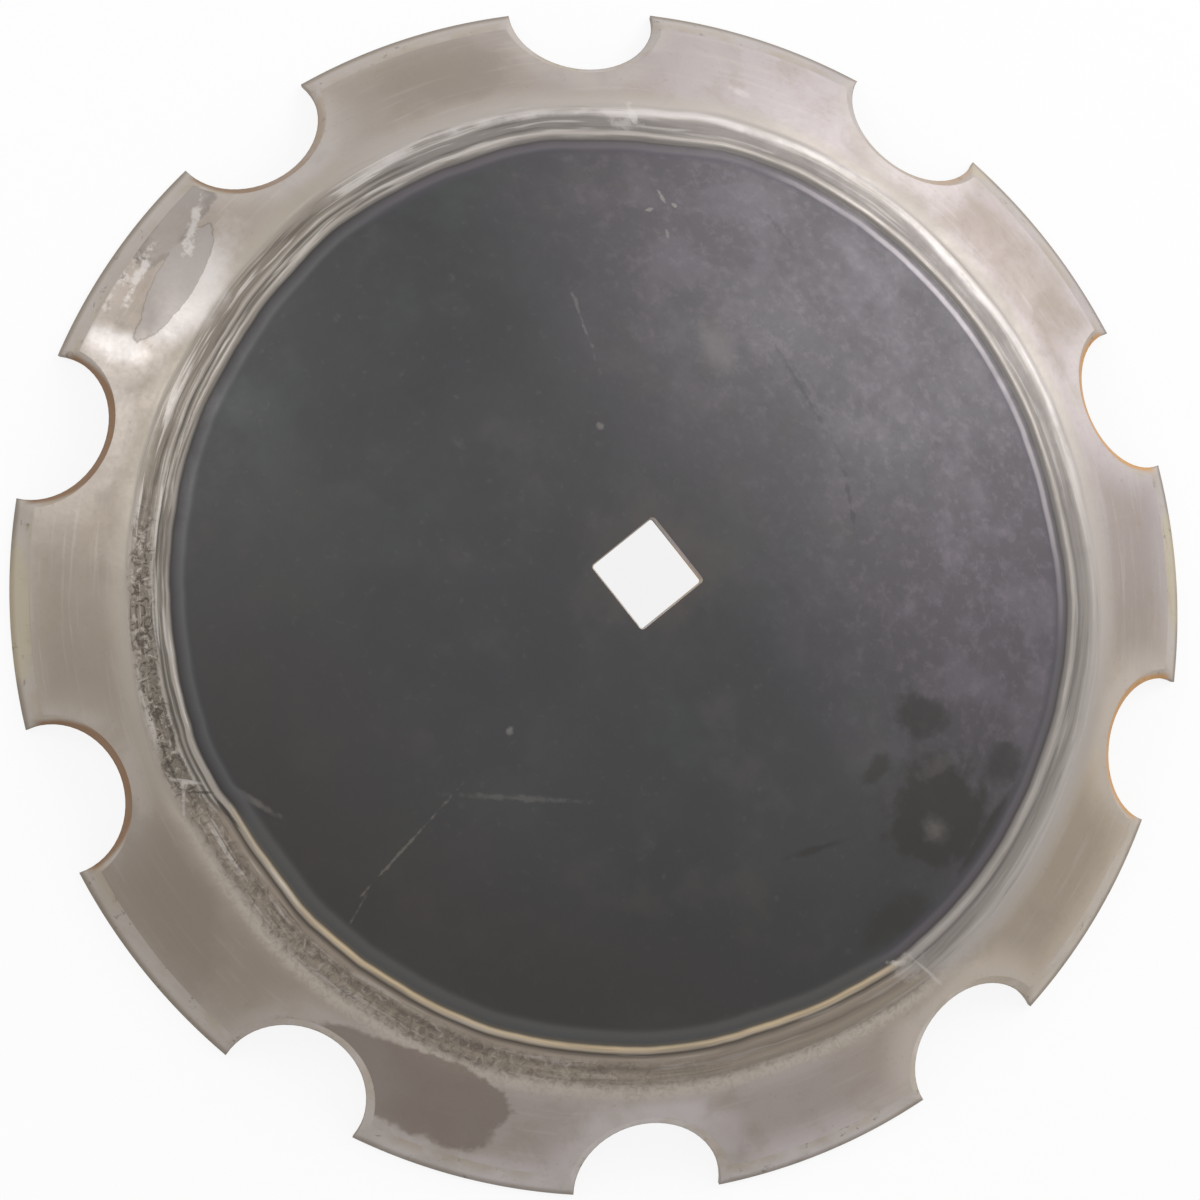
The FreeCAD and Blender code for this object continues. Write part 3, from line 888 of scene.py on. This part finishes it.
border = both_masks(t, heading(t, unit, 312, 0.5, 0.8), border, ramp(t, crinkle, 0.34, 0.60))
lines_here = blend_in(t, border, lines_here, card("C0B6AB"), 0.6)
first_line = ridge(t, ring_at, 222.4 * MM, 223.8 * MM, 225.2 * MM, 227.0 * MM)
first_line = both_masks(t, first_line, ramp(t, patchy, 0.25, 0.6, 0.45, 1.0))
first_line = both_masks(t, first_line, heading(t, unit, 84, 0.76, 0.9))
lines_here = blend_in(t, first_line, lines_here, card("A59EA1"), 0.75)

rippled = ridge(t, ring_at, 229 * MM, 232 * MM, 246 * MM, 252 * MM)
rippled = both_masks(t, rippled, calc(t, "MULTIPLY_ADD", heading(t, unit, 215, 0.1, 0.8), 0.65, 0.35))
low_lines = both_masks(t, rippled, ramp(t, ripples, 0.46, 0.34))
lines_here = blend_in(t, low_lines, lines_here, card("5A534C"), 0.75)
high_lines = both_masks(t, rippled, ramp(t, ripples, 0.54, 0.66))
lines_here = blend_in(t, high_lines, lines_here, card("C6C0BA"), 0.65)
faint_side = calc(t, "MULTIPLY", heading(t, unit, 285, 0.60, 0.95), 0.55)
rough_side = calc(t, "MAXIMUM", heading(t, unit, 243, 0.92, 0.985), faint_side)
crinkled = ridge(t, ring_at, 235 * MM, 240 * MM, 246 * MM, 251 * MM)
crinkled = both_masks(t, crinkled, rough_side)
low_folds = both_masks(t, crinkled, ramp(t, crinkle, 0.50, 0.38))
lines_here = blend_in(t, low_folds, lines_here, card("4F473F"), 0.7)
high_folds = both_masks(t, crinkled, ramp(t, crinkle, 0.54, 0.66))
lines_here = blend_in(t, high_folds, lines_here, card("BDB4A9"), 0.6)
# Painted highlight: a pale wavy band on the outer flank of the ring, on the side toward the lamps.
bright_at = calc(t, "MULTIPLY_ADD", calc(t, "SUBTRACT", patchy, 0.5), 14 * MM, ring_at)
flank_highlight = ridge(t, bright_at, 242 * MM, 245.5 * MM, 246.5 * MM, 249.5 * MM)
flank_highlight = both_masks(t, flank_highlight, ramp(t, broad, 0.36, 0.56, 0.35, 1.0))
flank_highlight = both_masks(t, flank_highlight, heading(t, unit, 120, 0.35, 0.75))
lines_here = blend_in(t, flank_highlight, lines_here, card("D3CCCA"), 0.65)
in_ring = ramp(t, ring_at, 219 * MM, 225 * MM)
past_ring = ramp(t, ring_at, 251 * MM, 262 * MM)
colour = mix(t, past_ring, mix(t, in_ring, middle, lines_here), bare["Colour"])

pits = both_masks(t, ramp(t, crinkle, 0.44, 0.34), crinkled)
film_rows = [
    (265, 281, 30, 64, -6, 0.30, 0.35, 0.55),
    (331, 290, 20, 30, 0, 0.40, 0.50, 0.35),
    (160, 280, 26, 40, 0, 0.40, 0.40, 0.30),
]
film = both_masks(t, blots(t, where, broad, film_rows), past_ring)
colour = blend_in(t, film, colour, card("7C6E62"), 0.6)
oil_rows = [(300, 267, 15, 46, 0, 0.22, 0.10, 1.0), (295, 275, 20, 62, 0, 0.22, 0.14, 1.0)]
oil = blots(t, where, broad, oil_rows)
colour = blend_in(t, oil, colour, card("7A6D64"), 0.75)
# Painted highlight: pale washes over the lobes at 198, 206 and 127 degrees, where the lamps' highlights fall.
# The same mask marks a wet film that lowers the roughness further down.
wet_highlight_rows = [
    (198, 262, 22, 48, 0, 0.35, 0.7, 0.9),
    (206, 280, 26, 12, 0, 0.3, 0.8, 0.9),
    (127, 267, 5, 9, 0, 0.8, 0.7, 0.4),
]
wet_film_and_highlight = blots(t, where, broad, wet_highlight_rows)
colour = blend_in(t, wet_film_and_highlight, colour, card("D2CDCB"), 0.75)
dry_rows = [(197.5, 271.5, 10, 37, 3, 0.22, 0.12, 1.0), (192, 290, 12, 34, 0, 0.4, 0.5, 0.8)]
dry = blots(t, where, broad, dry_rows)
colour = blend_in(t, dry, colour, card("99918C"), 0.9)
rimmed = ridge(t, dry, 0.05, 0.3, 0.5, 0.95)
colour = blend_in(t, rimmed, colour, card("6B635D"), 0.45)
scuff_rows = [
    (191.5, 281, 4, 18, 28, 0.9, 0.7, 0.9),
    (199, 288, 3, 22, 8, 0.9, 0.7, 0.9),
    (200, 297, 6, 20, 0, 1.2, 0.8, 0.6),
]
scuffs = blots(t, where, sharp, scuff_rows)
colour = blend_in(t, scuffs, colour, card("CAC4C0"), 0.7)
speckled = blots(t, where, broad, [(199, 294, 9, 36, 0, 0.4, 0.8, 1.0)])
speckled = both_masks(t, speckled, ramp(t, crinkle, 0.44, 0.36))
colour = blend_in(t, speckled, colour, card("665D57"), 0.6)
smear_rows = [
    (140, 240, 9, 2.6, 10, 0.7, 0.7, 0.8),
    (141, 236, 5, 9, 0, 0.8, 0.8, 0.5),
    (255.5, 242, 9, 1.3, -34, 0.5, 0.5, 0.8),
    (257, 246, 13, 1.0, 68, 0.6, 0.6, 0.7),
    (359.5, 247, 17, 1.3, 16, 0.4, 0.6, 0.7),
    (357, 234, 8, 2.0, 55, 0.8, 0.7, 0.7),
    (358, 240, 9, 12, 0, 0.8, 0.9, 0.4),
]
smears = blots(t, where, sharp, smear_rows)
colour = blend_in(t, smears, colour, card("CCC6C1"), 0.6)
fold_rows = [(261, 231.5, 12, 1.3, 100, 0.3, 0.6, 0.9), (257.5, 237, 5, 1.0, -30, 0.4, 0.6, 0.8)]
colour = blend_in(t, blots(t, where, sharp, fold_rows), colour, card("3A342F"), 0.85)
wire(t, colour, shader.inputs["Base Color"])

rough = between_numbers(t, in_ring, dark["Roughness"], bare["Roughness"])
rough = calc(t, "SUBTRACT", rough, calc(t, "MULTIPLY", calc(t, "MAXIMUM", film, wet_film_and_highlight), 0.12))
wire(t, rough, shader.inputs["Roughness"])
wire(t, calc(t, "MULTIPLY", in_ring, 0.45), shader.inputs["Metallic"])

relief = between_numbers(t, in_ring, dark["Height"], bare["Height"])
relief = calc(t, "MULTIPLY_ADD", pits, -0.30 * MM, relief)
relief = calc(t, "MULTIPLY_ADD", both_masks(t, crinkled, crinkle), 0.6 * MM, relief)
relief = calc(t, "MULTIPLY_ADD", both_masks(t, rippled, ripples), 0.8 * MM, relief)
bump = node(t, "ShaderNodeBump")
bump.inputs["Distance"].default_value = 1.0
bump.inputs["Strength"].default_value = 1.0
wire(t, relief, bump.inputs["Height"])
wire(t, bump.outputs[0], shader.inputs["Normal"])
print("domed face:", len(t.nodes), "nodes")

# %% [markdown]
# The bevels and cut walls are the last thing ground. They start as the same bare
# steel and are warmed by a thin tarnish: yellow to orange in some notches, brown
# in others, and hardly any along the rim.

# %% Ground edges
edge_finish, t, shader = new_material("ground_edge", 0.4, 0.45)
where = node(t, "ShaderNodeTexCoord").outputs["Object"]
flat = vector(t, "MULTIPLY", where, (1.0, 1.0, 0.0))
unit = vector(t, "NORMALIZE", flat)
bare = use(t, bare_skin, Vector=where, Seed=5.0).outputs
in_mouth = ramp(t, vector(t, "LENGTH", flat), 303 * MM, 296 * MM)
from_centre = vector(t, "LENGTH", vector(t, "SUBTRACT", where, tuple(centre)))
wall = ramp(t, from_centre, dish_ball + 3.6 * MM, dish_ball + 2.4 * MM)
colour = blend_in(t, calc(t, "SUBTRACT", 1.0, wall), bare["Colour"], card("B9B2AC"), 0.3)
gap = use(t, ruler, Vector=where).outputs["Gap"]
close = calc(t, "MAXIMUM", wall, ramp(t, gap, 3.6 * MM, 0.8 * MM))
tarnish_noise = cloud(t, where, 34.0, 3.0, 0.6, 6.0)
colour = blend_in(t, both_masks(t, in_mouth, ramp(t, tarnish_noise, 0.42, 0.60)), colour, card("9C8A6C"), 0.4)
colour = blend_in(t, wall, colour, card("6E6150"), 0.6)
orange = both_masks(t, in_mouth, heading(t, unit, 58, 0.62, 0.9))
colour = blend_in(t, both_masks(t, orange, close), colour, card("BE8B4A"), 0.9)
brown = both_masks(t, in_mouth, heading(t, unit, 225, 0.5, 0.85))
colour = blend_in(t, both_masks(t, brown, close), colour, card("7A5632"), 0.85)
straw_rows = [
    (54, 301, 8, 40, 0, 0.4, 0.5, 0.8),
    (104, 301, 8, 30, 0, 0.4, 0.5, 0.5),
    (234, 301, 8, 40, 0, 0.4, 0.5, 0.6),
]
colour = blend_in(t, blots(t, where, tarnish_noise, straw_rows), colour, card("B8AB8A"), 0.7)
nicks = ramp(t, cloud(t, where, 150.0, 5.0, 0.7, 12.0), 0.60, 0.70)
colour = blend_in(t, nicks, colour, card("5A5046"), 0.5)
wire(t, colour, shader.inputs["Base Color"])
wire(t, bare["Roughness"], shader.inputs["Roughness"])
bump = node(t, "ShaderNodeBump")
bump.inputs["Distance"].default_value = 1.0
bump.inputs["Strength"].default_value = 1.0
wire(t, calc(t, "MULTIPLY_ADD", nicks, -0.15 * MM, bare["Height"]), bump.inputs["Height"])
wire(t, bump.outputs[0], shader.inputs["Normal"])
print("ground edges:", len(t.nodes), "nodes")

# %% [markdown]
# The hollow face faces the ground here. It is the same sheet from behind: dark
# scale in the middle, bare steel outside the ring, and more dried oil and rust
# specks, because nobody wipes that side.

# %% Hollow face
hollow_finish, t, shader = new_material("hollow_face", 0.5, 0.0)
where = node(t, "ShaderNodeTexCoord").outputs["Object"]
ring_at = node(t, "ShaderNodeAttribute", attribute_name="ring_reach").outputs["Fac"]
dark = use(t, scale_skin, Vector=where, Seed=13.0).outputs
bare = use(t, bare_skin, Vector=where, Seed=15.0).outputs
ragged_at = calc(t, "MULTIPLY_ADD", cloud(t, where, 30.0, 4.0, 0.6, 31.0), 8 * MM, ring_at)
in_ring = ramp(t, ragged_at, 228 * MM, 240 * MM)
colour = mix(t, in_ring, dark["Colour"], bare["Colour"])
rust = ramp(t, cloud(t, where, 24.0, 7.0, 0.7, 17.0), 0.56, 0.68)
colour = blend_in(t, rust, colour, card("6A4A33"), 0.55)
wire(t, colour, shader.inputs["Base Color"])
rough = between_numbers(t, in_ring, dark["Roughness"], bare["Roughness"])
wire(t, calc(t, "MULTIPLY_ADD", rust, 0.2, rough), shader.inputs["Roughness"])
wire(t, calc(t, "MULTIPLY", in_ring, 0.35), shader.inputs["Metallic"])
bump = node(t, "ShaderNodeBump")
bump.inputs["Distance"].default_value = 1.0
bump.inputs["Strength"].default_value = 1.0
wire(t, calc(t, "MULTIPLY_ADD", rust, 0.1 * MM, dark["Height"]), bump.inputs["Height"])
wire(t, bump.outputs[0], shader.inputs["Normal"])
print("hollow face:", len(t.nodes), "nodes")

# %% Make the blade
seed_mesh = bpy.data.meshes.new("blade_seed")
maker = bpy.data.objects.new("blade_maker", seed_mesh)
bpy.context.scene.collection.objects.link(maker)
modifier = maker.modifiers.new("blade", "NODES")
modifier.node_group = blade_tree
sockets = {s.name: s.identifier for s in blade_tree.interface.items_tree if s.in_out == "INPUT"}
modifier[sockets["Columns In A Tooth"]] = 60
modifier[sockets["Dome Finish"]] = dome_finish
modifier[sockets["Edge Finish"]] = edge_finish
modifier[sockets["Hollow Finish"]] = hollow_finish
graph = bpy.context.evaluated_depsgraph_get()
mesh = bpy.data.meshes.new_from_object(maker.evaluated_get(graph), depsgraph=graph)
mesh.name = "blade_skin"
bpy.data.objects.remove(maker)
blade = bpy.data.objects.new("blade_skin", mesh)
bpy.context.scene.collection.objects.link(blade)
triangles = sum(len(face.vertices) - 2 for face in mesh.polygons)
print("blade:", len(mesh.vertices), "points,", triangles, "triangles")
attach(blade, "root")
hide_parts("disc_blade")

# %% [markdown]
# A plain pale floor. For the camera and for reflections it is mostly plain
# white, and a part of it stays an ordinary painted floor that keeps the shadow.

# %% Floor
floor_mesh = bpy.data.meshes.new("studio_floor")
half_floor = 8.0
below = -0.2 * MM
corners = [(half_floor * x, half_floor * y, below) for x, y in ((-1, -1), (1, -1), (1, 1), (-1, 1))]
floor_mesh.from_pydata(corners, [], [(0, 1, 2, 3)])
floor = bpy.data.objects.new("studio_floor", floor_mesh)
bpy.context.scene.collection.objects.link(floor)
floor_finish = bpy.data.materials.new("pale_floor")
floor_finish.use_nodes = True
t = floor_finish.node_tree
t.nodes.clear()
paint = node(t, "ShaderNodeBsdfDiffuse")
paint.inputs["Color"].default_value = (0.8, 0.8, 0.8, 1)
glow = node(t, "ShaderNodeEmission")
rays = node(t, "ShaderNodeLightPath").outputs
mirrored_rays = calc(t, "MAXIMUM", rays["Is Glossy Ray"], rays["Is Transmission Ray"])
seen_by = calc(t, "MAXIMUM", rays["Is Camera Ray"], mirrored_rays)
both = node(t, "ShaderNodeMixShader")
wire(t, calc(t, "MULTIPLY", seen_by, 0.88), both.inputs[0])
wire(t, paint.outputs[0], both.inputs[1])
wire(t, glow.outputs[0], both.inputs[2])
wire(t, both.outputs[0], node(t, "ShaderNodeOutputMaterial").inputs["Surface"])
floor_mesh.materials.append(floor_finish)

# %% [markdown]
# Soft light: a pale world all round, one large lamp from the far side of the
# blade, and a weak one opposite.

# %% Lights
world = bpy.data.worlds.new("studio_world")
bpy.context.scene.world = world
world.use_nodes = True
t = world.node_tree
t.nodes.clear()
rays = node(t, "ShaderNodeLightPath").outputs
seen_by = calc(t, "MAXIMUM", rays["Is Camera Ray"], rays["Is Transmission Ray"])
sky = node(t, "ShaderNodeBackground")
sky.inputs["Color"].default_value = (1, 1, 1, 1)
wire(t, ramp(t, seen_by, 0.0, 1.0, 0.64, 1.0, smooth=False), sky.inputs["Strength"])
wire(t, sky.outputs[0], node(t, "ShaderNodeOutputWorld").inputs["Surface"])


def lamp(name, toward, lean, away, size, power):
    """A square soft lamp. Toward is its side as the camera sees it, lean its angle from straight up."""
    data = bpy.data.lights.new(name, "AREA")
    data.size = size
    data.energy = power
    made = bpy.data.objects.new(name, data)
    bpy.context.scene.collection.objects.link(made)
    toward, lean = math.radians(toward), math.radians(lean)
    way = Vector((math.sin(lean) * math.cos(toward), math.sin(lean) * math.sin(toward), math.cos(lean)))
    made.location = Matrix.Rotation(-disc_spin, 4, "Z") @ (way * away)
    made.rotation_euler = (-made.location).to_track_quat("-Z", "Y").to_euler()
    return made


lamp("window_lamp", 42, 58, 2.6, 1.8, 46)
lamp("side_lamp", 150, 56, 2.4, 0.8, 13)
bpy.context.scene.view_settings.view_transform = "Standard"
print("lights ready")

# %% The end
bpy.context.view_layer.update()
